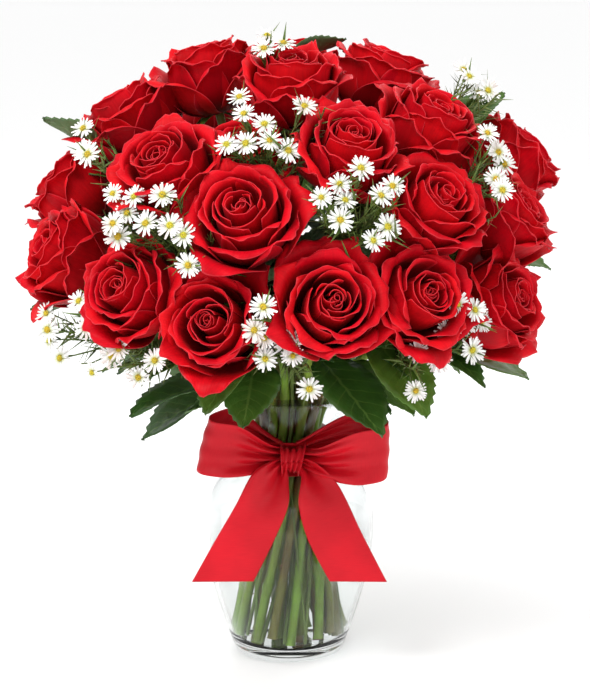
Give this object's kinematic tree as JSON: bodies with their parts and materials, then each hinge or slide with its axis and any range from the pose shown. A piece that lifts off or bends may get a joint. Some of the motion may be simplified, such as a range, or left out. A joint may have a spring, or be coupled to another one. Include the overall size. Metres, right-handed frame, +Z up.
{
  "type": "roses in a vase",
  "caption": "Round bouquet of red roses, leaves and small white asters in a clear glass vase with a ribbon bow at its neck.",
  "frame": {"origin": "centre of the vase's flat underside", "axes": "+Z up along the vase's axis, the bow faces -Y, +X to the right seen from the bow's side"},
  "size_m": [0.3736, 0.3625, 0.4344],
  "materials": {
    "rose_petals": "satin",
    "stem_and_leaf": "satin",
    "aster_spray": "matte",
    "clear_glass": "polished",
    "water": "polished",
    "ribbon_satin": "satin"
  },
  "bodies": {
    "root": {"bloom_01": "rose_petals", "bloom_02": "rose_petals", "bloom_03": "rose_petals", "bloom_04": "rose_petals", "bloom_05": "rose_petals", "bloom_06": "rose_petals", "bloom_07": "rose_petals", "bloom_08": "rose_petals", "bloom_09": "rose_petals", "bloom_10": "rose_petals", "bloom_11": "rose_petals", "bloom_12": "rose_petals", "bloom_13": "rose_petals", "bloom_14": "rose_petals", "bloom_15": "rose_petals", "bloom_16": "rose_petals", "bloom_17": "rose_petals", "bloom_18": "rose_petals", "bloom_19": "rose_petals", "bloom_20": "rose_petals", "bloom_21": "rose_petals", "bloom_22": "rose_petals", "bloom_23": "rose_petals", "bloom_24": "rose_petals", "bloom_25": "rose_petals", "bloom_26": "rose_petals", "stem_01": "stem_and_leaf", "stem_02": "stem_and_leaf", "stem_03": "stem_and_leaf", "stem_04": "stem_and_leaf", "stem_05": "stem_and_leaf", "stem_06": "stem_and_leaf", "stem_07": "stem_and_leaf", "stem_08": "stem_and_leaf", "stem_09": "stem_and_leaf", "stem_10": "stem_and_leaf", "stem_11": "stem_and_leaf", "stem_12": "stem_and_leaf", "stem_13": "stem_and_leaf", "stem_14": "stem_and_leaf", "stem_15": "stem_and_leaf", "stem_16": "stem_and_leaf", "stem_17": "stem_and_leaf", "stem_18": "stem_and_leaf", "stem_19": "stem_and_leaf", "stem_20": "stem_and_leaf", "stem_21": "stem_and_leaf", "stem_22": "stem_and_leaf", "stem_23": "stem_and_leaf", "stem_24": "stem_and_leaf", "stem_25": "stem_and_leaf", "stem_26": "stem_and_leaf", "aster_spray_1": "aster_spray", "aster_spray_2": "aster_spray", "aster_spray_3": "aster_spray", "aster_spray_4": "aster_spray", "aster_spray_5": "aster_spray", "glass_vase": "clear_glass", "water": "water", "ribbon_bow": "ribbon_satin"}
  },
  "joints": []
}
